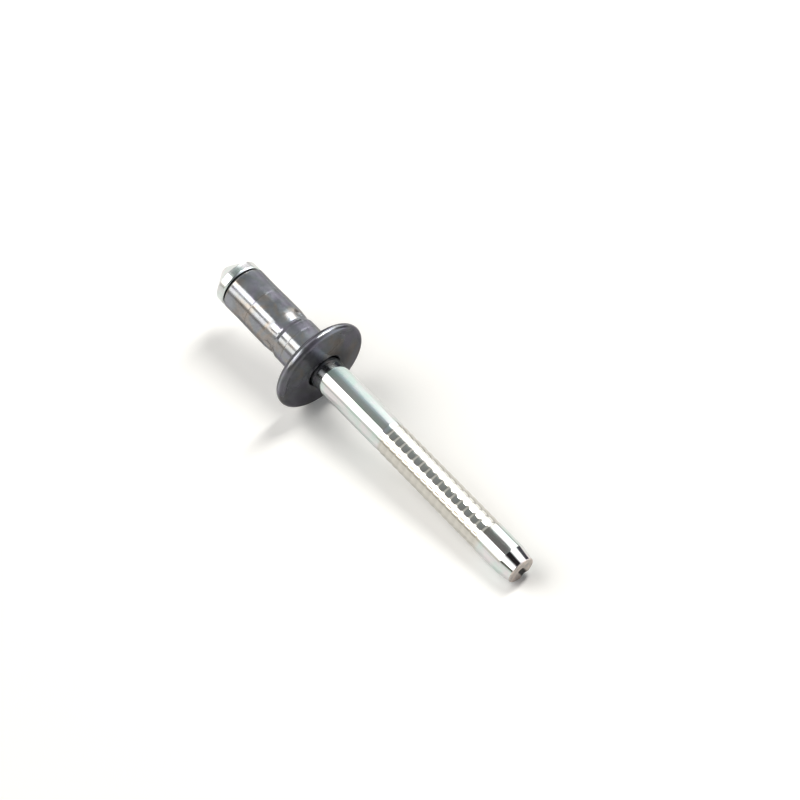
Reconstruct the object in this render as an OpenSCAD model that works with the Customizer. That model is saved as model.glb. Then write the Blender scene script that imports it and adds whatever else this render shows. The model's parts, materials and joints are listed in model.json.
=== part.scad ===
// Blind rivet of the structural kind, not yet set, lying on a flat surface. All sizes are in millimetres.
// It has two pieces: a flanged body, and a mandrel whose stem runs through the body and out of the flange.
// Both are round about one line. Places along that line count from the underside of the flange, at zero:
// the shank runs to the blind end on the minus side, and the stem runs to its tail on the plus side.
// Across the line, +X is the side that faces the floor when the rivet lies down.

/* [Shank] */
// Diameter of the shank
shank_d = 6.4; // [5.8:0.1:7.2]
// Length of the shank, from the flange to the blind end
shank_len = 14.45; // [12.4:0.05:20]
// Rounding between the shank and the flange
shank_fillet = 0.25; // [0.1:0.05:0.5]
// Length of the lip at the blind end
lip_len = 0.45; // [0.35:0.05:1]
// Chamfer on the outer edge of the blind end
lip_chamfer = 0.18; // [0.06:0.02:0.3]
// Depth of the waist next to the lip
waist_depth = 0.07; // [0.03:0.01:0.2]
// Length of the waist
waist_len = 2; // [1:0.1:3]
// Length of the slope from the waist up to the lip
lip_slope = 0.6; // [0.1:0.05:1]
// Length of the slope from the waist up to the full diameter
waist_slope = 2.6; // [0.4:0.1:3]

/* [Flange] */
// Diameter of the flange
flange_d = 13.2; // [11:0.1:16]
// Thickness of the flange at its rounded rim
rim_t = 1.42; // [1:0.02:1.8]
// Height of the dome at its middle, as if it had no hole
crown_h = 2.09; // [1.94:0.01:3]
// Radius of the rounded mouth of the hole
mouth_r = 0.55; // [0.2:0.05:0.7]

/* [Crimp that holds the stem] */
// Number of dimples around the shank
dimple_count = 3; // [2:1:6]
// Distance from the flange to the middle of the dimples
dimple_at = 5.5; // [4.2:0.05:6]
// Length of a dimple along the shank
dimple_len = 1.8; // [1:0.05:2]
// Depth of a dimple
dimple_depth = 0.22; // [0.2:0.01:0.32]
// Turn of the first dimple away from the side that faces the floor
dimple_turn = 27; // [0:1:119]
// Distance from the flange to the middle of the rolled belt that the dimples lie in
belt_at = 4.92; // [4.2:0.01:6]
// Depth of the belt
belt_depth = 0.16; // [0.05:0.01:0.2]
// Length of the belt's floor
belt_floor = 0.2; // [0.1:0.05:1]
// Length of the belt's wall on the side of the flange
belt_wall = 0.5; // [0.1:0.05:0.6]
// Length of the slope out of the belt on the side of the blind end
belt_slope = 1.5; // [0.1:0.05:1.6]
// How far each dimple bulges into the bore
bulge_h = 0.2; // [0.15:0.01:0.24]

/* [Stem] */
// Diameter of the stem
stem_d = 4.43; // [4:0.01:4.8]
// Gap between the stem and the bore of the body, on each side
stem_gap = 0.07; // [0.05:0.01:0.1]
// Length of the stem from the underside of the flange to its tail
stem_len = 38.2; // [34.8:0.1:60]
// Length of the taper at the tail
taper_len = 2; // [1:0.1:3]
// How much the taper takes off the radius
taper_in = 0.33; // [0.1:0.01:0.8]
// Rounding of the tail's edge
tail_edge_r = 0.18; // [0.05:0.01:0.3]
// Width of the cut-off mark in the tail's end
mark_w = 1.06; // [0.6:0.02:1.4]
// Depth of the cut-off mark
mark_depth = 0.2; // [0.1:0.01:0.3]
// Turn of the mark away from the side that faces the floor
mark_turn = 27; // [0:1:359]

/* [Pulling grooves] */
// Number of grooves around the stem
groove_count = 16; // [2:1:18]
// Distance from the flange to the first groove
groove_at = 14.95; // [8:0.05:16]
// Distance from one groove to the next
groove_pitch = 1.144; // [0.9:0.002:1.26]
// Width of a groove
groove_w = 0.52; // [0.3:0.02:0.6]
// Depth of a groove
groove_depth = 0.1; // [0.05:0.01:0.15]

/* [Inside the shank] */
// Distance from the flange to the notch where the stem breaks when the rivet is set
break_at = 2; // [1.2:0.1:2.6]
// Depth of the break notch
break_depth = 0.55; // [0.3:0.05:0.8]
// Depth of the groove that the dimples hold the stem by
hold_depth = 0.3; // [0.27:0.01:0.5]
// Length of that groove's floor
hold_floor = 1; // [0.9:0.1:1.2]

/* [Head of the mandrel] */
// Diameter of the head
head_d = 6.36; // [5.9:0.02:6.6]
// Length of the head's cylinder
head_len = 1.28; // [1:0.01:2]
// Chamfer on both edges of the head
head_edge = 0.16; // [0.05:0.01:0.3]
// Length of the nose beyond the head
nose_len = 2.2; // [1.9:0.05:4]
// Radius of the blunt tip of the nose
tip_r = 1.3; // [0.5:0.05:1.6]
// Diameter of the ring under the head that bears on the blind end
seat_d = 5.2; // [5.1:0.05:5.7]
// Height of that ring, which leaves a narrow slot around it
seat_h = 0.25; // [0.1:0.01:0.4]
// Chamfer in the root of the head, which the mouth of the bore makes room for
root_chamfer = 0.16; // [0.08:0.01:0.2]

/* [Hidden] */
$fn = 96;
dome_fn = 360;
// How far a cutter runs past the face that it cuts
over = 1;

shank_r = shank_d / 2;
waist_r = shank_r - waist_depth;
stem_r = stem_d / 2;
bore_r = stem_r + stem_gap;
head_r = head_d / 2;
seat_r = seat_d / 2;
tail_r = stem_r - taper_in;

// The rim is a full round. The dome is part of a ball that meets the round of the rim without a corner.
rim_r = rim_t / 2;
rim_at = flange_d / 2 - rim_r;
dome_rise = crown_h - rim_r;
dome_r = (rim_at * rim_at + dome_rise * dome_rise - rim_r * rim_r) / (2 * (dome_rise - rim_r));
dome_z = crown_h - dome_r;
rim_turn = atan2(rim_at, rim_r - dome_z);
rim_meet_r = rim_at + rim_r * sin(rim_turn);
rim_meet_z = rim_r + rim_r * cos(rim_turn);
mouth_at = bore_r + mouth_r;
mouth_z = dome_z + sqrt(dome_r * dome_r - mouth_at * mouth_at);

// Places along the shank
belt_near = belt_at - belt_floor / 2;
belt_far = belt_at + belt_floor / 2;
lip_at = shank_len - lip_len;
waist_far = lip_at - lip_slope;
waist_near = waist_far - waist_len;

// A dimple is the print of a ball, and the bulge behind it is the cap of a smaller ball.
dimple_ball_r = (dimple_len * dimple_len / 4 + dimple_depth * dimple_depth) / (2 * dimple_depth);
dimple_ball_at = shank_r - dimple_depth + dimple_ball_r;
bulge_ball_r = 1;
bulge_ball_at = bore_r - bulge_h + bulge_ball_r;
bulge_root_r = (bore_r + shank_r - dimple_depth) / 2;

// The nose is a cone that runs into its ball-shaped tip without a corner.
head_back = -shank_len - seat_h;
head_front = head_back - head_len;
nose_base_r = head_r - head_edge;
tip_z = head_front - nose_len + tip_r;
nose_reach = head_front - tip_z;
nose_slant = sqrt(nose_reach * nose_reach + nose_base_r * nose_base_r);
nose_turn = atan2(nose_base_r, nose_reach) + acos(tip_r / nose_slant);

// Places along the stem
taper_at = stem_len - taper_len;
tail_edge_z = stem_len - tail_edge_r;
tail_flat_r = tail_r - tail_edge_r;
groove_r = (groove_w * groove_w / 4 + groove_depth * groove_depth) / (2 * groove_depth);
groove_centre = stem_r - groove_depth + groove_r;
hold_half = hold_floor / 2;
mark_r = (mark_w * mark_w / 4 + mark_depth * mark_depth) / (2 * mark_depth);

// Lying down, the rivet touches the floor with the rim of the flange and with one edge of the tail,
// whichever meets the floor at the smaller tilt.
function tilt_on(z, r, edge_r) =
    asin((rim_r - edge_r) / norm([z - rim_r, rim_at - r])) + atan2(rim_at - r, z - rim_r);
tilt = min(tilt_on(taper_at, stem_r, 0), tilt_on(tail_edge_z, tail_flat_r, tail_edge_r));
lift = rim_at * cos(tilt) + rim_r * sin(tilt) + rim_r;
tail_x = tail_edge_z * cos(tilt) + tail_flat_r * sin(tilt) + tail_edge_r;
nose_x = tip_z * cos(tilt) - tip_r;
middle_x = (tail_x + nose_x) / 2;

// Lays a piece down, with its tail towards +X and the middle of the whole rivet over the origin.
module lying() {
    translate([-middle_x, 0, lift])
        rotate([0, 90 + tilt, 0])
            children();
}

// Places copies in a ring around the shank at the dimples.
module around_the_crimp(ball_at) {
    for (i = [0 : dimple_count - 1])
        rotate([0, 0, dimple_turn + i * 360 / dimple_count])
            translate([ball_at, 0, -dimple_at])
                children();
}

// Half section of the flange, from the middle line outwards: the domed plate and the round of its rim.
module flange_section() {
    intersection() {
        polygon([
            [0, 0],
            [rim_at, 0],
            [rim_at, rim_r],
            [rim_meet_r, rim_meet_z],
            [rim_meet_r, crown_h],
            [0, crown_h]
        ]);
        translate([0, dome_z])
            circle(r = dome_r, $fn = dome_fn);
    }
    translate([rim_at, rim_r])
        circle(r = rim_r);
}

// Half section of the shank: lip, waist, full diameter and the belt that the dimples lie in.
module shank_section() {
    polygon([
        [0, -shank_len],
        [shank_r - lip_chamfer, -shank_len],
        [shank_r, lip_chamfer - shank_len],
        [shank_r, -lip_at],
        [waist_r, -waist_far],
        [waist_r, -waist_near],
        [shank_r, waist_slope - waist_near],
        [shank_r, -belt_far - belt_slope],
        [shank_r - belt_depth, -belt_far],
        [shank_r - belt_depth, -belt_near],
        [shank_r, belt_wall - belt_near],
        [shank_r, rim_r],
        [0, rim_r]
    ]);
    difference() {
        translate([shank_r, -shank_fillet])
            square([shank_fillet, shank_fillet]);
        translate([shank_r + shank_fillet, -shank_fillet])
            circle(r = shank_fillet);
    }
}

// Half section of the hole, with its rounded mouth in the dome and its chamfer at the blind end.
module hole_section() {
    translate([0, -shank_len - over])
        square([bore_r, shank_len + crown_h + 2 * over]);
    difference() {
        translate([0, mouth_z - mouth_r])
            square([mouth_at, mouth_r + over]);
        translate([mouth_at, mouth_z - mouth_r])
            circle(r = mouth_r);
    }
    polygon([
        [0, -shank_len - over],
        [bore_r + root_chamfer + over, -shank_len - over],
        [bore_r, root_chamfer - shank_len],
        [0, root_chamfer - shank_len]
    ]);
}

// The body is headed and drawn from one piece of steel. The dimples press its wall into the stem's groove.
module rivet_body() {
    color([0.43, 0.43, 0.45])
        lying() {
            difference() {
                rotate_extrude()
                    difference() {
                        union() {
                            flange_section();
                            shank_section();
                        }
                        hole_section();
                    }
                around_the_crimp(dimple_ball_at)
                    sphere(r = dimple_ball_r);
            }
            intersection() {
                around_the_crimp(bulge_ball_at)
                    sphere(r = bulge_ball_r);
                translate([0, 0, -dimple_at - bulge_ball_r])
                    cylinder(r = bulge_root_r, h = 2 * bulge_ball_r);
            }
        }
}

// Half section of the mandrel without its pulling grooves, from the nose to the tail.
module mandrel_section() {
    polygon([
        [0, tip_z],
        [tip_r * sin(nose_turn), tip_z + tip_r * cos(nose_turn)],
        [nose_base_r, head_front],
        [head_r, head_front + head_edge],
        [head_r, head_back - head_edge],
        [head_r - head_edge, head_back],
        [seat_r, head_back],
        [seat_r, -shank_len],
        [stem_r + root_chamfer, -shank_len],
        [stem_r, root_chamfer - shank_len],
        [stem_r, -dimple_at - hold_half - hold_depth],
        [stem_r - hold_depth, -dimple_at - hold_half],
        [stem_r - hold_depth, hold_half - dimple_at],
        [stem_r, hold_half + hold_depth - dimple_at],
        [stem_r, -break_at - break_depth],
        [stem_r - break_depth, -break_at],
        [stem_r, break_depth - break_at],
        [stem_r, taper_at],
        [tail_r, tail_edge_z],
        [tail_flat_r, tail_edge_z],
        [tail_flat_r, stem_len],
        [0, stem_len]
    ]);
    translate([tail_flat_r, tail_edge_z])
        circle(r = tail_edge_r);
    intersection() {
        translate([0, tip_z])
            circle(r = tip_r);
        translate([0, tip_z - tip_r])
            square([tip_r, tip_r]);
    }
}

// Half sections of the grooves that the setting tool's jaws pull on.
module groove_sections() {
    for (i = [0 : groove_count - 1])
        translate([groove_centre, groove_at + i * groove_pitch])
            circle(r = groove_r);
}

// The mark that cutting the wire left in the tail's end, from its middle out to its edge.
module cut_off_mark() {
    rotate([0, 0, mark_turn])
        translate([0, 0, stem_len - mark_depth + mark_r]) {
            sphere(r = mark_r);
            rotate([0, 90, 0])
                cylinder(r = mark_r, h = tail_r + over);
        }
}

// The mandrel is one piece of drawn wire, with its head upset and its grooves rolled in.
module mandrel() {
    color([0.8, 0.82, 0.83])
        lying()
            difference() {
                rotate_extrude()
                    difference() {
                        mandrel_section();
                        groove_sections();
                    }
                cut_off_mark();
            }
}

rivet_body();
mandrel();
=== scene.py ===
import json
import math
import bpy
import numpy as np
from mathutils import Matrix, Vector


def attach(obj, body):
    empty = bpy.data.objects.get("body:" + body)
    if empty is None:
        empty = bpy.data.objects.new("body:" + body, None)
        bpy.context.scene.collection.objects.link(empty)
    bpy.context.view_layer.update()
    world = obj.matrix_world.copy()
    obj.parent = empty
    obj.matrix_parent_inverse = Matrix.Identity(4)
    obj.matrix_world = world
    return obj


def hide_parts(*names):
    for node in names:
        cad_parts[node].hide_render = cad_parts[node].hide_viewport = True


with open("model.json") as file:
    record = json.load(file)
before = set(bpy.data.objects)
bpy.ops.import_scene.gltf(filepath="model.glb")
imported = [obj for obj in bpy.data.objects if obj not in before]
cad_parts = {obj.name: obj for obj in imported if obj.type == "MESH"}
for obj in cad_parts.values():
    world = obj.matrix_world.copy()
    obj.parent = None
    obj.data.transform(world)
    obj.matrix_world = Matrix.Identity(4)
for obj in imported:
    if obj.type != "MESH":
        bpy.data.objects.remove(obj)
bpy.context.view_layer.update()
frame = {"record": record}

# Where the rivet lies. The seat under the flange gives a point on the rivet's own line and the way to
# the nose. Both pieces are worked out round that line in millimetres, with zero at the underside of the
# flange and plus towards the tail, and are then laid down by three directions.
MM = 0.001
seat = next(mount for mount in frame["record"]["mounts"] if mount["name"] == "flange_seat")
seat_centre = np.array([seat["pos_m"][0], 0.0, seat["pos_m"][2]])
to_tail = -np.array(seat["axis"])
to_floor = np.array([to_tail[2], 0.0, -to_tail[0]])
to_side = np.array([0.0, 1.0, 0.0])


def lay_down(x, y, z):
    """Seat centre + x along the way to the floor + y along the way to the side + z along the way to
    the tail."""
    own = np.stack([x, y, z], axis=-1) * MM
    return seat_centre + own @ np.array([to_floor, to_side, to_tail])


# Body: one cold-headed and drawn piece of steel, zinc plated, with the plate dulled to a dark satin grey.
# It is a tube with a domed flange. Three punched dimples in a rolled belt press its wall into the stem.
shank_r, shank_len = 3.2, 14.45
stem_r, stem_gap = 2.215, 0.07
bore_r = stem_r + stem_gap
lip_len, lip_chamfer, lip_slope = 0.45, 0.18, 2.2
waist_depth, waist_len, waist_slope = 0.04, 0.4, 2.6
rim_round, rim_at, crown_h = 0.71, 5.89, 2.09
mouth_round, root_chamfer, shank_fillet = 0.55, 0.16, 0.25
dimple_count, dimple_at, dimple_len, dimple_depth, dimple_turn = 3, 5.5, 1.8, 0.22, 27
belt_at, belt_depth, belt_floor, belt_wall, belt_slope = 4.92, 0.16, 0.2, 0.5, 1.5
bulge_h, bulge_ball_r = 0.2, 1.0
witness_depth, witness_w, witness_shade = 0.006, 0.18, 0.5
# The mouth's painted shade also lies faintly over the flange, fading outwards.
slot_fade, mouth_painted_shade, mouth_shade_fade, dull_fade = 0.1, 0.4, 4.0, 0.5
rub_r, rub_reach, rub_fade = 6.35, 0.24, 0.15
body_around, dome_rings, dimple_step, bore_step, plain_step = 256, 20, 0.055, 0.14, 0.6
# A hair is a tolerance, and a sliver keeps the two roundings of the rim from ending on one point.
hair, sliver = 0.01, 0.0005
dome_rise = crown_h - rim_round
dome_r = (rim_at**2 + dome_rise**2 - rim_round**2) / (2 * (dome_rise - rim_round))
dome_z = crown_h - dome_r


def rounded(corners, arc_steps=6):
    """A profile through corners (r, z, rounding). Each corner is replaced by the arc of that radius which
    touches both of its sides: the arc starts at rounding / tan(half the corner's angle) from the corner."""
    corners = np.array(corners, float)
    run = []
    for before, here, after in zip(np.roll(corners, 1, 0), corners, np.roll(corners, -1, 0)):
        if here[2] == 0:
            run.append(here[None, :2])
            continue
        a = (before - here)[:2] / np.linalg.norm((before - here)[:2])
        b = (after - here)[:2] / np.linalg.norm((after - here)[:2])
        half = math.acos(float(np.clip(a @ b, -1, 1))) / 2
        middle = here[:2] + (a + b) / np.linalg.norm(a + b) * here[2] / math.sin(half)
        first = here[:2] + a * here[2] / math.tan(half) - middle
        last = here[:2] + b * here[2] / math.tan(half) - middle
        sweep = math.pi - 2 * half
        t = np.linspace(0, 1, arc_steps + 1)[:, None]
        run.append(middle + (np.sin((1 - t) * sweep) * first + np.sin(t * sweep) * last) / math.sin(sweep))
    return np.concatenate(run)


def filled(profile, step):
    """Adds even points between neighbours of a profile, so that each is within step(r, z) of the next."""
    start, end = profile[:-1], profile[1:]
    middle = (start + end) / 2
    parts = np.ceil(np.linalg.norm(end - start, axis=1) / step(middle[:, 0], middle[:, 1])).astype(int)
    parts = np.maximum(parts, 1)
    owner = np.repeat(np.arange(len(parts)), parts)
    place = np.arange(len(owner)) - np.repeat(np.cumsum(parts) - parts, parts)
    t = (place / parts[owner])[:, None]
    return np.concatenate([start[owner] * (1 - t) + end[owner] * t, profile[-1:]])


def turned(name, profile, around, reshape):
    """Surface of revolution: point (i, j) is (r_i cos a_j, r_i sin a_j, z_i), with (r_i, z_i) from the
    profile and a_j even round the circle, passed through reshape(r, angle, z). A profile that starts and
    ends on the line is closed by a fan of triangles at each pole, and any other runs round and meets itself.
    The values by name that reshape also returns become attributes for the material."""
    angle = np.arange(around) * 2 * math.pi / around
    r = np.repeat(profile[:, :1], around, axis=1)
    z = np.repeat(profile[:, 1:], around, axis=1)
    x, y, z, looks = reshape(r, np.broadcast_to(angle, r.shape), z)
    poled = profile[0, 0] == 0
    points = lay_down(x, y, z).reshape(-1, 3)
    index = np.arange(len(profile) * around).reshape(len(profile), around)
    low = index if not poled else index[1:-1]
    high = np.roll(low, -1, axis=0)
    if poled:
        low, high = low[:-1], high[:-1]
    quads = np.stack([low, np.roll(low, -1, 1), np.roll(high, -1, 1), high], axis=-1).reshape(-1, 4)
    sizes = np.full(len(quads), 4)
    loops = quads.ravel()
    if poled:
        first, last = index[1], index[-2]
        fan_a = np.stack([np.full(around, index[0, 0]), np.roll(first, -1), first], axis=-1)
        fan_b = np.stack([np.full(around, index[-1, 0]), last, np.roll(last, -1)], axis=-1)
        loops = np.concatenate([loops, fan_a.ravel(), fan_b.ravel()])
        sizes = np.concatenate([sizes, np.full(2 * around, 3)])
    used, loops = np.unique(loops, return_inverse=True)
    mesh = bpy.data.meshes.new(name)
    mesh.vertices.add(len(used))
    mesh.vertices.foreach_set("co", points[used].ravel())
    mesh.loops.add(len(loops))
    mesh.loops.foreach_set("vertex_index", loops.ravel().astype(np.int32))
    mesh.polygons.add(len(sizes))
    mesh.polygons.foreach_set("loop_start", (np.cumsum(sizes) - sizes).astype(np.int32))
    mesh.update(calc_edges=True)
    mesh.polygons.foreach_set("use_smooth", np.ones(len(sizes), bool))
    for label, values in looks.items():
        attribute = mesh.attributes.new(label, "FLOAT", "POINT")
        spread = np.broadcast_to(values, r.shape).ravel()[used]
        attribute.data.foreach_set("value", spread.astype(np.float32))
    mesh.validate()
    piece = bpy.data.objects.new(name, mesh)
    bpy.context.scene.collection.objects.link(piece)
    return piece


def ball_prints(angle, z, distance, radius):
    """Distance from the line to the near side of the nearest of the balls that ring the shank:
    distance * cos(turn) - sqrt(radius^2 - (distance * sin(turn))^2 - height^2), and far away off them."""
    far_away = 99.0
    sector = 2 * math.pi / dimple_count
    turn = (angle - math.radians(dimple_turn) + sector / 2) % sector - sector / 2
    inside = radius**2 - (distance * np.sin(turn)) ** 2 - (z + dimple_at) ** 2
    return np.where(inside > 0, distance * np.cos(turn) - np.sqrt(np.maximum(inside, 0)), far_away)


def press_dimples(r, angle, z):
    """Outside, the wall is no further out than the dimples' balls, and in the bore it is no further out
    than the bulges'. The shade is painted shade: black in the bore, dark into the mouth and faint over the
    flange round it, and dark in the slot at the head. It also gives a darker line along the witness rings.
    The flange is dull but for its rubbed rim."""
    dimple_ball_r = (dimple_len**2 / 4 + dimple_depth**2) / (2 * dimple_depth)
    outer = ball_prints(angle, z, shank_r - dimple_depth + dimple_ball_r, dimple_ball_r)
    inner = ball_prints(angle, z, bore_r - bulge_h + bulge_ball_r, bulge_ball_r)
    in_bore = r < bore_r + hair
    pressed = np.where(in_bore, np.minimum(r, inner), np.minimum(r, outer))
    # Painted shade: darker into the mouth's rounding, and faintly over the flange round the mouth, where
    # little light gets in.
    painted_mouth_shade = np.maximum(1 - (r - bore_r) / mouth_round, mouth_painted_shade - (r - mouth_at) / mouth_shade_fade)
    into_mouth = np.where(z > 0, painted_mouth_shade, 0)
    # Painted shade in the slot between the body's end and the mandrel's head.
    in_slot = np.where(z < 2 * hair - shank_len, (shank_r - lip_chamfer - r) / slot_fade, 0)
    from_witness = np.minimum(np.abs(z + witness_near), np.abs(z + witness_far)) / (witness_w / 2)
    shade = np.where(in_bore, 1.0, np.clip(np.maximum(into_mouth, in_slot), 0, 1))
    shade = np.maximum(shade, witness_shade * np.clip(1 - from_witness, 0, 1))
    at_rim = np.clip((rub_reach - np.abs(z - rim_round)) / rub_fade, 0, 1)
    rubbed = np.clip((r - rub_r) / rub_fade, 0, 1) * at_rim
    dull = np.clip((z + dull_fade) / dull_fade, 0, 1) * (1 - rubbed)
    return pressed * np.cos(angle), pressed * np.sin(angle), z, {"shade": shade, "dull": dull}


lip_at = shank_len - lip_len
waist_far = lip_at - lip_slope
waist_near = waist_far - waist_len
belt_near, belt_far = belt_at - belt_floor / 2, belt_at + belt_floor / 2
witness_near, witness_far = 3.05, 10.2
slope_at_witness = waist_depth * (witness_far + waist_slope - waist_near) / waist_slope
mouth_at = bore_r + mouth_round
mouth_z = dome_z + math.sqrt(dome_r**2 - mouth_at**2)
rim_meet = rim_at + rim_round * math.sin(math.atan2(rim_at, rim_round - dome_z))
dome_points = np.linspace(rim_meet, mouth_at, dome_rings)
body_profile = rounded([
    (bore_r, root_chamfer - shank_len, 0.04),
    (bore_r + root_chamfer, -shank_len, 0.04),
    (shank_r - lip_chamfer, -shank_len, 0.05),
    (shank_r, lip_chamfer - shank_len, 0.06),
    (shank_r, -lip_at, 4.0),
    (shank_r - waist_depth, -waist_far, 5.0),
    (shank_r - waist_depth, -waist_near, 1.0),
    (shank_r - slope_at_witness, -witness_far - witness_w / 2, 0.02),
    (shank_r - slope_at_witness - witness_depth, -witness_far, 0.02),
    (shank_r - slope_at_witness, witness_w / 2 - witness_far, 0.02),
    (shank_r, waist_slope - waist_near, 1.0),
    (shank_r, -belt_far - belt_slope, 8.0),
    (shank_r - belt_depth, -belt_far, 0.8),
    (shank_r - belt_depth, -belt_near, 0.25),
    (shank_r, belt_wall - belt_near, 0.2),
    (shank_r, -witness_near - witness_w / 2, 0.02),
    (shank_r - witness_depth, -witness_near, 0.02),
    (shank_r, witness_w / 2 - witness_near, 0.02),
    (shank_r, 0, shank_fillet),
    (rim_at + rim_round, 0, rim_round - sliver),
    (rim_at + rim_round, 2 * rim_round, rim_round - sliver),
    *[(r, dome_z + math.sqrt(dome_r**2 - r**2), 0) for r in dome_points[1:-1]],
    (bore_r, mouth_z, mouth_round),
])
body_profile = np.concatenate([body_profile, body_profile[:1]])


def body_step(r, z):
    """Ring spacing: fine where the dimples are, on both sides of the wall, and wider on plain stretches."""
    by_dimples = np.abs(z + dimple_at) < dimple_len / 2 + dimple_step
    outside = r > (bore_r + shank_r) / 2
    return np.where(by_dimples, np.where(outside, dimple_step, bore_step), plain_step)


flanged_body = turned("flanged_body", filled(body_profile, body_step)[:-1], body_around, press_dimples)


def srgb(hex_colour):
    """Linear colour of an sRGB hex value: ((c + 0.055) / 1.055)^2.4, or c / 12.92 near black."""
    parts = [int(hex_colour[i:i + 2], 16) / 255 for i in (1, 3, 5)]
    return tuple(((c + 0.055) / 1.055) ** 2.4 if c > 0.04045 else c / 12.92 for c in parts) + (1.0,)


def add_node(tree, kind, inputs=(), **settings):
    """Adds a node. Settings go on the node, and each input is a value or the output that feeds it."""
    made = tree.nodes.new(kind)
    for name, value in settings.items():
        setattr(made, name, value)
    for name, value in dict(inputs).items():
        if isinstance(value, bpy.types.NodeSocket):
            tree.links.new(value, made.inputs[name])
        else:
            made.inputs[name].default_value = value
    return made


# Zinc plate, dulled by its passivation to a satin grey: partly a mirror and partly matt. The shank has been
# rubbed lighter than the flange. Patches lean to violet, green and brown. Painted shade darkens the bore,
# the mouth and the slot at the head, and the witness rings get a darker line. The grain is drawn coarser
# than the real one, so that it shows.
patch_mm, grain_mm = 1.6, 0.1
dull_zinc = bpy.data.materials.new("dull_passivated_zinc")
dull_zinc.use_nodes = True
tree = dull_zinc.node_tree
tree.nodes.clear()
place = add_node(tree, "ShaderNodeTexCoord").outputs["Object"]
patches = add_node(tree, "ShaderNodeTexNoise", {
    "Vector": place, "Scale": 1 / (patch_mm * MM), "Detail": 4.0, "Roughness": 0.65}).outputs["Fac"]
tints = add_node(tree, "ShaderNodeTexNoise", {
    "Vector": place, "Scale": 1 / (1.5 * patch_mm * MM), "Detail": 3.0, "Distortion": 0.8}).outputs["Fac"]
grain = add_node(tree, "ShaderNodeTexNoise", {
    "Vector": place, "Scale": 1 / (grain_mm * MM), "Detail": 2.0, "Roughness": 0.7}).outputs["Fac"]
tint_ramp = add_node(tree, "ShaderNodeValToRGB", {"Fac": tints})
tint_ramp.color_ramp.elements[0].position = 0.36
tint_ramp.color_ramp.elements[0].color = srgb("#95929f")
tint_ramp.color_ramp.elements[1].position = 0.66
tint_ramp.color_ramp.elements[1].color = srgb("#9d958f")
tint_ramp.color_ramp.elements.new(0.5).color = srgb("#92969b")
dull = add_node(tree, "ShaderNodeAttribute", attribute_name="dull").outputs["Fac"]
deep = add_node(tree, "ShaderNodeAttribute", attribute_name="shade").outputs["Fac"]
patch_shade = add_node(tree, "ShaderNodeMapRange", {
    "Value": patches, "From Min": 0.3, "From Max": 0.7, "To Min": 0.78, "To Max": 1.12}).outputs["Result"]
flange_shade = add_node(tree, "ShaderNodeMapRange", {
    "Value": dull, "To Min": 1.0, "To Max": 0.42}).outputs["Result"]
# Painted shade: the shade attribute darkens the plate towards a fifth in the bore, the mouth and the slot at
# the head, and along the witness rings.
deep_shade = add_node(tree, "ShaderNodeMapRange", {
    "Value": deep, "To Min": 1.0, "To Max": 0.2}).outputs["Result"]
shade = add_node(tree, "ShaderNodeMath", {0: patch_shade, 1: flange_shade}, operation="MULTIPLY").outputs[0]
shade = add_node(tree, "ShaderNodeMath", {0: shade, 1: deep_shade}, operation="MULTIPLY").outputs[0]
plate = add_node(tree, "ShaderNodeVectorMath", {
    0: tint_ramp.outputs["Color"], 1: shade}, operation="MULTIPLY")
rough = add_node(tree, "ShaderNodeMapRange", {
    "Value": patches, "From Min": 0.3, "From Max": 0.7, "To Min": 0.1, "To Max": 0.16}).outputs["Result"]
rougher = add_node(tree, "ShaderNodeMapRange", {
    "Value": dull, "To Min": 0.0, "To Max": 0.08}).outputs["Result"]
rough = add_node(tree, "ShaderNodeMath", {0: rough, 1: rougher}).outputs[0]
bump = add_node(tree, "ShaderNodeBump", {
    "Height": grain, "Strength": 0.1, "Distance": 0.01 * MM}).outputs["Normal"]
surface = add_node(tree, "ShaderNodeBsdfPrincipled", {
    "Base Color": plate.outputs[0], "Metallic": 0.65, "Roughness": rough, "Normal": bump,
    "Specular Tint": srgb("#9c9a9c")}).outputs["BSDF"]
add_node(tree, "ShaderNodeOutputMaterial", {"Surface": surface})
flanged_body.data.materials.append(dull_zinc)
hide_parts("rivet_body")
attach(flanged_body, "root")

# Mandrel: one piece of drawn steel wire, bright zinc plated. Its head was upset and coned, sixteen pulling
# grooves like saw teeth were rolled round the stem, and the tail was tapered and cut off, which left a mark.
stem_len, taper_len, taper_in, tail_round = 38.2, 2.0, 0.33, 0.18
tail_r = stem_r - taper_in
groove_count, groove_at, groove_pitch, groove_depth = 16, 14.95, 1.144, 0.053
tooth_low, tooth_high, tooth_run = -0.275, 0.075, 0.79
tooth_round, first_tooth_round = 0.5, 1.0
break_at, break_depth = 2.0, 0.55
hold_depth, hold_floor = 0.3, 1.0
head_r, head_len, head_edge = 3.18, 1.28, 0.16
nose_len, tip_round = 2.2, 1.3
seat_ring_r, seat_h = 2.6, 0.25
mark_w, mark_depth, mark_turn, mark_shade = 1.06, 0.2, 27, 1.4
mouth_fade, groove_shade, rolled_fade = 1.2, 0.12, 0.3
head_dull, end_band, end_fade = 0.4, 0.14, 0.05
mandrel_around, tip_rings, mark_reach, mark_step, stem_step = 224, 14, 0.5, 0.07, 0.6
head_back = -shank_len - seat_h
head_front = head_back - head_len
tip_z = head_front - nose_len + tip_round
nose_base_r = head_r - head_edge
nose_turn = math.atan2(nose_base_r, head_front - tip_z) + math.acos(
    tip_round / math.hypot(head_front - tip_z, nose_base_r))
tip_turns = np.linspace(math.pi, nose_turn, tip_rings)
groove_places = groove_at + groove_pitch * np.arange(groove_count)
groove_middle = groove_at + groove_pitch * (groove_count - 1) / 2
groove_reach = groove_pitch * groove_count / 2
groove_corners = [
    (stem_r - drop, at + side, soft)
    for at in groove_places
    for side, drop, soft in ((tooth_low, groove_depth, tooth_round), (tooth_high, 0, tooth_round))
]
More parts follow.
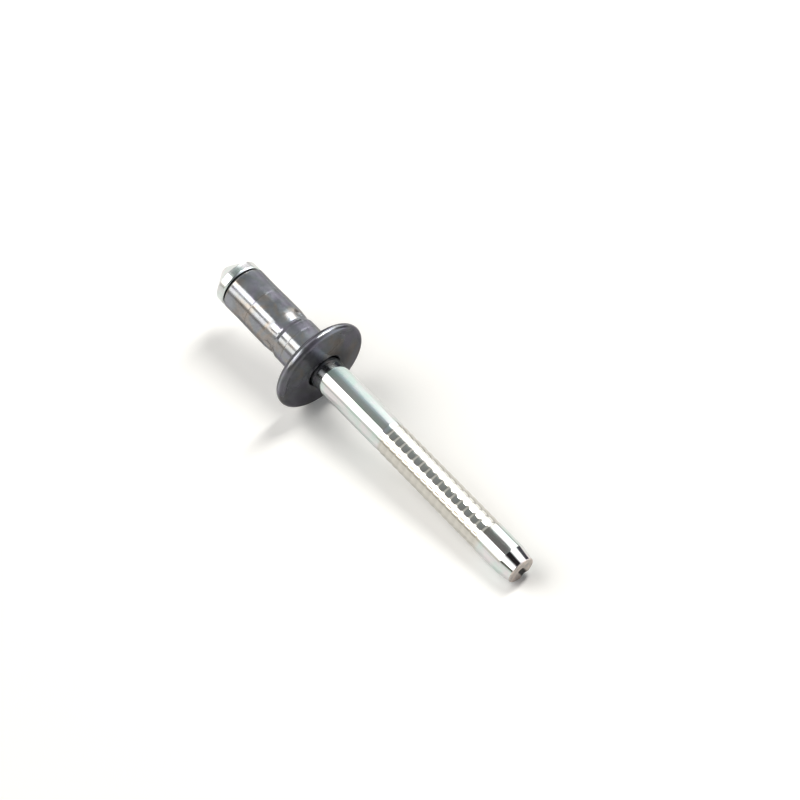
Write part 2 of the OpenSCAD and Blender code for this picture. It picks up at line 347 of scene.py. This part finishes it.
mandrel_profile = rounded([
    *[(tip_round * math.sin(turn), tip_z + tip_round * math.cos(turn), 0) for turn in tip_turns],
    (nose_base_r, head_front, 0.08),
    (head_r, head_front + head_edge, 0.08),
    (head_r, head_back - head_edge, 0.06),
    (head_r - head_edge, head_back, 0.05),
    (seat_ring_r, head_back, 0.04),
    (seat_ring_r, -shank_len, 0.04),
    (stem_r + root_chamfer, -shank_len, 0.04),
    (stem_r, root_chamfer - shank_len, 0.04),
    (stem_r, -dimple_at - hold_floor / 2 - hold_depth, 0.05),
    (stem_r - hold_depth, -dimple_at - hold_floor / 2, 0.05),
    (stem_r - hold_depth, hold_floor / 2 - dimple_at, 0.05),
    (stem_r, hold_floor / 2 + hold_depth - dimple_at, 0.05),
    (stem_r, -break_at - break_depth, 0.05),
    (stem_r - break_depth, -break_at, 0.1),
    (stem_r, break_depth - break_at, 0.05),
    (stem_r, groove_at + tooth_low - tooth_run, first_tooth_round),
    *groove_corners,
    (stem_r, stem_len - taper_len, 0.15),
    (tail_r, stem_len, tail_round),
    (0, stem_len, 0),
], arc_steps=5)
mandrel_profile[0, 0] = 0


def mandrel_step(r, z):
    """Ring spacing: fine over the end of the tail, where the cut-off mark is, and wider elsewhere."""
    return np.where(z > stem_len - mark_reach, mark_step, stem_step)


def cut_mark(r, angle, z):
    """No point stands above the mark's floor: a trough from the middle of the end out to its edge, with a
    round inner end, whose depth falls as a circle's arc with the distance from its middle line. The shade is
    painted shade in the slot at the head, on the stem in the mouth and in the teeth. In the mark it is both
    painted shade and the dark of bare steel. The head and the end are dull."""
    x, y = r * np.cos(angle), r * np.sin(angle)
    turn = angle - math.radians(mark_turn)
    off = np.where(np.cos(turn) > 0, np.abs(r * np.sin(turn)), r)
    mark_r = (mark_w**2 / 4 + mark_depth**2) / (2 * mark_depth)
    depth = np.maximum(np.sqrt(np.maximum(mark_r**2 - off**2, 0)) - mark_r + mark_depth, 0)
    cut = np.minimum(z, stem_len - depth)
    # Painted shade: the slot under the head, the stem inside the mouth and the teeth's floors are darkened.
    in_slot = (z > head_back - 2 * hair) & (r < head_r - head_edge - 5 * hair) & (z < 0)
    into_mouth = np.clip((mouth_z - z) / mouth_fade, 0, 1) * (z > 0)
    # In the cut mark the darkness is painted shade and the dark of bare, unplated steel.
    shade = np.maximum(np.where(in_slot, 1.0, into_mouth), mark_shade * (z - cut) / mark_depth)
    from_middle = np.abs(z - groove_middle)
    in_groove = np.clip((stem_r - r) / groove_depth, 0, 1) * (from_middle < groove_reach)
    shade = np.maximum(shade, groove_shade * in_groove)
    at_end = np.clip((z - stem_len + end_band) / end_fade, 0, 1)
    dull = np.where(z < -shank_len, head_dull, at_end)
    rolled = np.clip((groove_reach - from_middle) / rolled_fade, 0, 1)
    return x, y, cut, {"shade": np.minimum(shade, 1), "dull": dull, "rolled": rolled}


mandrel_piece = turned("wire_mandrel", filled(mandrel_profile, mandrel_step), mandrel_around, cut_mark)

# Bright zinc plate on drawn wire. It mirrors the room, with a faint mint and rose cast in patches and lines
# along the way the wire was drawn, which are wider than the real ones so that they show. The rolled teeth
# are a warmer grey, the head is duller, and the cut end is bare sheared steel. Painted shade darkens the
# slot at the head, the stem in the mouth, the teeth and the cut mark, and takes the metal's shine away
# there.
cast_mm, line_w_mm, line_len_mm, shear_mm = 2.5, 0.09, 2.5, 0.7
bright_zinc = bpy.data.materials.new("bright_zinc_on_drawn_wire")
bright_zinc.use_nodes = True
tree = bright_zinc.node_tree
tree.nodes.clear()
place = add_node(tree, "ShaderNodeTexCoord").outputs["Object"]
dull = add_node(tree, "ShaderNodeAttribute", attribute_name="dull").outputs["Fac"]
deep = add_node(tree, "ShaderNodeAttribute", attribute_name="shade").outputs["Fac"]
along_line = add_node(tree, "ShaderNodeVectorMath", {0: place, 1: tuple(to_tail)}, operation="DOT_PRODUCT")
pulled_in = add_node(tree, "ShaderNodeVectorMath", {
    0: tuple(to_tail * (line_w_mm / line_len_mm - 1)), "Scale": along_line.outputs["Value"]},
    operation="SCALE")
drawn = add_node(tree, "ShaderNodeVectorMath", {0: place, 1: pulled_in.outputs[0]}).outputs[0]
lines = add_node(tree, "ShaderNodeTexNoise", {
    "Vector": drawn, "Scale": 1 / (line_w_mm * MM), "Detail": 3.0, "Roughness": 0.6}).outputs["Fac"]
cast = add_node(tree, "ShaderNodeTexNoise", {
    "Vector": place, "Scale": 1 / (cast_mm * MM), "Detail": 3.0, "Roughness": 0.6}).outputs["Fac"]
cast_ramp = add_node(tree, "ShaderNodeValToRGB", {"Fac": cast})
cast_ramp.color_ramp.elements[0].position = 0.38
cast_ramp.color_ramp.elements[0].color = srgb("#c9d5d1")
cast_ramp.color_ramp.elements[1].position = 0.62
cast_ramp.color_ramp.elements[1].color = srgb("#d7d3d5")
rolled = add_node(tree, "ShaderNodeAttribute", attribute_name="rolled").outputs["Fac"]
skin = add_node(tree, "ShaderNodeMix", {
    "Factor": rolled, "A": cast_ramp.outputs["Color"], "B": srgb("#cbc8c1")},
    data_type="RGBA").outputs["Result"]
shear = add_node(tree, "ShaderNodeTexNoise", {
    "Vector": place, "Scale": 1 / (shear_mm * MM), "Detail": 4.0, "Roughness": 0.7}).outputs["Fac"]
shear_ramp = add_node(tree, "ShaderNodeValToRGB", {"Fac": shear})
shear_ramp.color_ramp.elements[0].position = 0.36
shear_ramp.color_ramp.elements[0].color = srgb("#9a9896")
shear_ramp.color_ramp.elements[1].position = 0.62
shear_ramp.color_ramp.elements[1].color = srgb("#d6c8be")
at_cut = add_node(tree, "ShaderNodeMapRange", {
    "Value": dull, "From Min": 0.5, "From Max": 0.9}).outputs["Result"]
skin = add_node(tree, "ShaderNodeMix", {
    "Factor": at_cut, "A": skin, "B": shear_ramp.outputs["Color"]},
    data_type="RGBA").outputs["Result"]
line_shade = add_node(tree, "ShaderNodeMapRange", {
    "Value": lines, "From Min": 0.3, "From Max": 0.7, "To Min": 0.9, "To Max": 1.02}).outputs["Result"]
# Painted shade: the shade attribute darkens the plate down to a twentieth where it is full.
deep_shade = add_node(tree, "ShaderNodeMapRange", {
    "Value": deep, "To Min": 1.0, "To Max": 0.05}).outputs["Result"]
shade = add_node(tree, "ShaderNodeMath", {0: line_shade, 1: deep_shade}, operation="MULTIPLY").outputs[0]
plate = add_node(tree, "ShaderNodeVectorMath", {0: skin, 1: shade}, operation="MULTIPLY").outputs[0]
rough = add_node(tree, "ShaderNodeMapRange", {
    "Value": lines, "From Min": 0.3, "From Max": 0.7, "To Min": 0.05, "To Max": 0.11}).outputs["Result"]
rougher = add_node(tree, "ShaderNodeMapRange", {
    "Value": dull, "To Min": 0.0, "To Max": 0.3}).outputs["Result"]
rough = add_node(tree, "ShaderNodeMath", {0: rough, 1: rougher}).outputs[0]
rougher = add_node(tree, "ShaderNodeMapRange", {
    "Value": deep, "From Min": 0.3, "To Min": 0.0, "To Max": 0.5}).outputs["Result"]
rough = add_node(tree, "ShaderNodeMath", {0: rough, 1: rougher}).outputs[0]
bump = add_node(tree, "ShaderNodeBump", {
    "Height": lines, "Strength": 0.15, "Distance": 0.004 * MM}).outputs["Normal"]
# Painted shade: where the shade is deep, the plate turns into a dull black non-metal that mirrors nothing.
metal_outside_painted_shade = add_node(tree, "ShaderNodeMapRange", {
    "Value": deep, "From Min": 0.5, "To Min": 1.0, "To Max": 0.0}).outputs["Result"]
surface = add_node(tree, "ShaderNodeBsdfPrincipled", {
    "Base Color": plate, "Metallic": metal_outside_painted_shade, "Roughness": rough, "Normal": bump}).outputs["BSDF"]
add_node(tree, "ShaderNodeOutputMaterial", {"Surface": surface})
mandrel_piece.data.materials.append(bright_zinc)
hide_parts("mandrel")
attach(mandrel_piece, "root")

# Table: a matt white paper surface that the rivet lies on, flat and level. It goes on past the view, keeps
# the rivet's soft shadow, and is lifted a little by a glow that only the camera and mirrors see.
table_half, paper_lift = 0.6, 0.11
table_mesh = bpy.data.meshes.new("table")
table_mesh.from_pydata(
    [(x * table_half, y * table_half, 0) for x, y in ((-1, -1), (1, -1), (1, 1), (-1, 1))],
    [], [(0, 1, 2, 3)])
table = bpy.data.objects.new("table", table_mesh)
bpy.context.scene.collection.objects.link(table)
paper = bpy.data.materials.new("matt_white_paper")
paper.use_nodes = True
tree = paper.node_tree
tree.nodes.clear()
matt = add_node(tree, "ShaderNodeBsdfDiffuse", {"Color": srgb("#f8f8f7")}).outputs["BSDF"]
ray = add_node(tree, "ShaderNodeLightPath")
seen = add_node(tree, "ShaderNodeMath", {0: ray.outputs["Is Camera Ray"], 1: ray.outputs["Is Glossy Ray"]},
                operation="MAXIMUM").outputs[0]
seen = add_node(tree, "ShaderNodeMath", {0: seen, 1: paper_lift}, operation="MULTIPLY").outputs[0]
whiter = add_node(tree, "ShaderNodeEmission", {"Color": srgb("#ffffff"), "Strength": seen}).outputs[0]
shown = add_node(tree, "ShaderNodeAddShader", {0: matt, 1: whiter}).outputs[0]
add_node(tree, "ShaderNodeOutputMaterial", {"Surface": shown})
table_mesh.materials.append(paper)

# Room: pale walls, a window of two panes and a dark shape overhead, which only the metal mirrors. A place in
# it is given by two angles: the turn round the rivet's line, from straight up towards the window, and the
# lean towards the nose out of the upright plane across the rivet.
up_from_line = -to_floor
towards_window = -to_side
brightest = 8.0

# Each ring of tones takes over from the one before between its two leans, and holds up to the next. A tone
# is the turn that it stands at, its colour and its radiance. From the photo's side the flange mirrors the
# first ring, the taper the second, the belt's slope and the teeth's long sides the third, the stem the next
# three, the body and the head the seventh, the teeth's short sides the eighth and the belt's wall the ninth.
rings = (
    ((-90, -90), (
        (-94, "#e6e8f0", 3.6), (-60, "#e6e8f0", 3.4), (-20, "#b4b4bc", 1.7), (10, "#77767a", 1.0),
        (45, "#8a898c", 1.0), (100, "#b8b6b4", 1.1))),
    ((-20, -12), (
        (-94, "#4e4c54", 1.0), (-61, "#5e5c62", 1.0), (-54, "#fdfefd", 1.9), (-14, "#fdfefd", 1.9),
        (-4, "#2a282c", 1.0), (24, "#2f2b2c", 1.0), (44, "#fdfefd", 4.0), (64, "#fdfefd", 4.0),
        (69, "#6f6d61", 1.0), (80, "#6f6d61", 1.0), (84, "#e9efe9", 1.2))),
    ((9, 12), (
        (-94, "#a8a99a", 1.0), (-89, "#a8a99a", 1.0), (-85, "#fdfefd", 1.7), (-61, "#fdfefd", 1.7),
        (-58, "#fdfeff", 7.0), (-33, "#f4f9ff", 6.6), (-18, "#8b9496", 1.45), (34, "#838588", 1.45),
        (38, "#fffefa", 6.5), (60, "#fffefa", 6.5), (62, "#8a6648", 1.0), (67, "#8a6648", 1.0),
        (69, "#fffaf0", 4.0), (76, "#fffaf0", 4.0), (79, "#d8d5cd", 1.1), (100, "#d8d5cd", 1.1))),
    ((17.4, 18.4), (
        (-94, "#5c5844", 1.0), (-88, "#5c5844", 1.0), (-83, "#fdfefd", 1.9), (-33, "#fdfefd", 1.9),
        (-23, "#7b7a76", 1.0), (27, "#6d6c67", 1.0), (31, "#fffefa", 4.0), (75, "#fffefa", 3.4),
        (78, "#dedbd2", 1.2), (100, "#d6d0c5", 1.2))),
    ((19, 22), (
        (-94, "#5c5844", 1.0), (-88, "#5c5844", 1.0), (-83, "#fdfefd", 1.9), (-36, "#fdfefd", 1.9),
        (-26, "#8e8f8d", 1.15), (27, "#85867f", 1.15), (31, "#fffefa", 4.0), (75, "#fffefa", 3.4),
        (78, "#e2e0d8", 1.2), (100, "#d6d0c5", 1.2))),
    ((22, 24), (
        (-94, "#f6faf4", 1.45), (-50, "#f4fbf8", 1.5), (-40, "#e4f0ef", 1.3), (-32, "#cbd9db", 1.3),
        (-25, "#b9c6cd", 1.3), (-17, "#a8b5b5", 1.3), (-9, "#98a19e", 1.3), (18, "#8c958e", 1.3),
        (27, "#868e87", 1.3), (31, "#fffefa", 4.0), (75, "#fffefa", 3.4),
        (78, "#e6e8e2", 1.25), (100, "#dcdfd8", 1.2))),
    ((24.6, 26), (
        (-94, "#d4d4d4", 1.0), (-68, "#d4d4d4", 1.0), (-60, "#6f7578", 1.12), (27, "#63686c", 1.12),
        (32, "#fffefa", 6.6), (50, "#fffefa", 6.6), (53, "#4c3a2c", 1.0), (60, "#4c3a2c", 1.0),
        (63, "#fffcf2", 4.2), (78, "#fffcf2", 3.8), (84, "#cfc8bc", 1.0), (88, "#8a7e74", 1.0),
        (94, "#8a7e74", 1.0))),
    ((29.5, 32), (
        (-94, "#8b886f", 1.0), (-88, "#8b886f", 1.0), (-83, "#fdfefd", 3.2), (-31, "#fdfefd", 3.2),
        (-24, "#d8dad9", 1.1), (27, "#d8dad9", 1.1), (31, "#fffefa", 3.4), (75, "#fffefa", 3.2),
        (78, "#e8e5dc", 1.2), (100, "#dcd8cf", 1.2))),
    ((42, 48), ((-180, "#66696c", 1.0), (180, "#66696c", 1.0))),
    ((66, 72), ((-180, "#eceeed", 1.2), (180, "#eceeed", 1.2))),
)
world = bpy.data.worlds.new("studio")
bpy.context.scene.world = world
world.use_nodes = True
tree = world.node_tree
tree.nodes.clear()
way = add_node(tree, "ShaderNodeTexCoord").outputs["Generated"]
to_nose_share = add_node(tree, "ShaderNodeVectorMath", {
    0: way, 1: tuple(-to_tail)}, operation="DOT_PRODUCT").outputs["Value"]
window_share = add_node(tree, "ShaderNodeVectorMath", {
    0: way, 1: tuple(towards_window)}, operation="DOT_PRODUCT").outputs["Value"]
up_share = add_node(tree, "ShaderNodeVectorMath", {
    0: way, 1: tuple(up_from_line)}, operation="DOT_PRODUCT").outputs["Value"]
lean = add_node(tree, "ShaderNodeMath", {0: to_nose_share}, operation="ARCSINE").outputs[0]
turn = add_node(tree, "ShaderNodeMath", {0: window_share, 1: up_share}, operation="ARCTAN2").outputs[0]
turn_share = add_node(tree, "ShaderNodeMapRange", {
    "Value": turn, "From Min": -math.pi, "From Max": math.pi}).outputs["Result"]
mirrored = None
for (lean_from, lean_to), tones in rings:
    ring = add_node(tree, "ShaderNodeValToRGB", {"Fac": turn_share})
    stops = ring.color_ramp.elements
    while len(stops) < len(tones):
        stops.new(1.0)
    for stop, (tone_turn, tone, radiance) in zip(stops, tones):
        stop.position = 0.5 + tone_turn / 360
        stop.color = srgb(tone)[:3] + (radiance / brightest,)
    light = add_node(tree, "ShaderNodeVectorMath", {
        0: ring.outputs["Color"], "Scale": ring.outputs["Alpha"]}, operation="SCALE").outputs[0]
    past = add_node(tree, "ShaderNodeMapRange", {
        "Value": lean, "From Min": math.radians(lean_from), "From Max": math.radians(lean_to)},
        interpolation_type="SMOOTHSTEP").outputs["Result"]
    mirrored = light if mirrored is None else add_node(tree, "ShaderNodeMix", {
        "Factor": past, "A": mirrored, "B": light}, data_type="RGBA").outputs["Result"]
mirrored = add_node(tree, "ShaderNodeBackground", {"Color": mirrored, "Strength": brightest}).outputs[0]

# Glow: the window's side of the room as soft light on the table and on what is matt, with a faint rest all
# round. It is strongest along its own way and fades to the rest at an angle whose cosine is the edge.
glow_lean, glow_turn = math.radians(37), math.radians(41)
glow_edge, glow_rest, glow_peak = 0.8, 0.036, 4.3
glow_way = math.cos(glow_lean) * (math.cos(glow_turn) * up_from_line + math.sin(glow_turn) * towards_window)
glow_way = glow_way - math.sin(glow_lean) * to_tail
glow_share = add_node(tree, "ShaderNodeVectorMath", {
    0: way, 1: tuple(glow_way)}, operation="DOT_PRODUCT").outputs["Value"]
glow = add_node(tree, "ShaderNodeMapRange", {
    "Value": glow_share, "From Min": glow_edge, "From Max": 1.0,
    "To Min": glow_rest, "To Max": glow_peak}).outputs["Result"]
lit = add_node(tree, "ShaderNodeBackground", {"Color": srgb("#fffdf9"), "Strength": glow}).outputs[0]
white = add_node(tree, "ShaderNodeBackground", {"Color": srgb("#ffffff"), "Strength": 1.0}).outputs[0]
ray = add_node(tree, "ShaderNodeLightPath")
surround = add_node(tree, "ShaderNodeMixShader", {
    0: ray.outputs["Is Glossy Ray"], 1: lit, 2: mirrored}).outputs[0]
surround = add_node(tree, "ShaderNodeMixShader", {
    0: ray.outputs["Is Camera Ray"], 1: surround, 2: white}).outputs[0]
add_node(tree, "ShaderNodeOutputWorld", {"Surface": surround})


# Lamp: a long oval ceiling lamp that hangs above the rivet, across its line and away from the window. It
# casts the sharper part of the shadow.
def way_round(lean_deg, turn_deg):
    """Direction with a lean and a turn, by the room's two angles."""
    lean, turn = math.radians(lean_deg), math.radians(turn_deg)
    across = math.cos(turn) * up_from_line + math.sin(turn) * towards_window
    return Vector(math.cos(lean) * across - math.sin(lean) * to_tail)


def lamp(name, shape, way, distance, width, length, radiance, colour):
    """A flat lamp that faces the rivet, with its length along the rivet's line and its width across it. Its
    power is radiance * width * length * pi."""
    light = bpy.data.lights.new(name, "AREA")
    light.shape = shape
    light.size, light.size_y = width, length
    light.energy = radiance * width * length * math.pi
    light.color = srgb(colour)[:3]
    holder = bpy.data.objects.new(name, light)
    line = Vector(to_tail)
    length_way = (line - way * way.dot(line)).normalized()
    turned_to = Matrix((length_way.cross(way), length_way, way)).transposed().to_4x4()
    holder.matrix_world = Matrix.Translation(way * distance) @ turned_to
    holder.visible_camera = False
    bpy.context.scene.collection.objects.link(holder)


lamp("ceiling_lamp", "ELLIPSE", way_round(lean_deg=8.9, turn_deg=-27.3), distance=0.6, width=0.35,
     length=0.094, radiance=20.0, colour="#fffdf8")

# Camera: a long lens that looks down on the rivet from the side of its tail, at the photo's viewing angle.
# Its focal length is in picture points and is turned to millimetres by the sensor's width.
view_turn_deg, view_down_deg, view_distance = -49.3, 49.31, 0.29283
aim = Vector((0.00046, 0.00477, 0.005))
focal_px, frame_px, sensor_mm = 2376.8, 800, 36.0
camera = bpy.data.cameras.new("camera")
camera.sensor_width = sensor_mm
camera.lens = focal_px / frame_px * sensor_mm
camera.clip_start = 0.01
eye = bpy.data.objects.new("camera", camera)
view_turn, view_down = math.radians(view_turn_deg), math.radians(view_down_deg)
level = math.cos(view_down)
look = Vector((math.sin(view_turn) * level, math.cos(view_turn) * level, -math.sin(view_down)))
facing = look.to_track_quat("-Z", "Y").to_matrix().to_4x4()
eye.matrix_world = Matrix.Translation(aim - look * view_distance) @ facing
bpy.context.scene.collection.objects.link(eye)
bpy.context.scene.camera = eye
bpy.context.scene.view_settings.view_transform = "Standard"
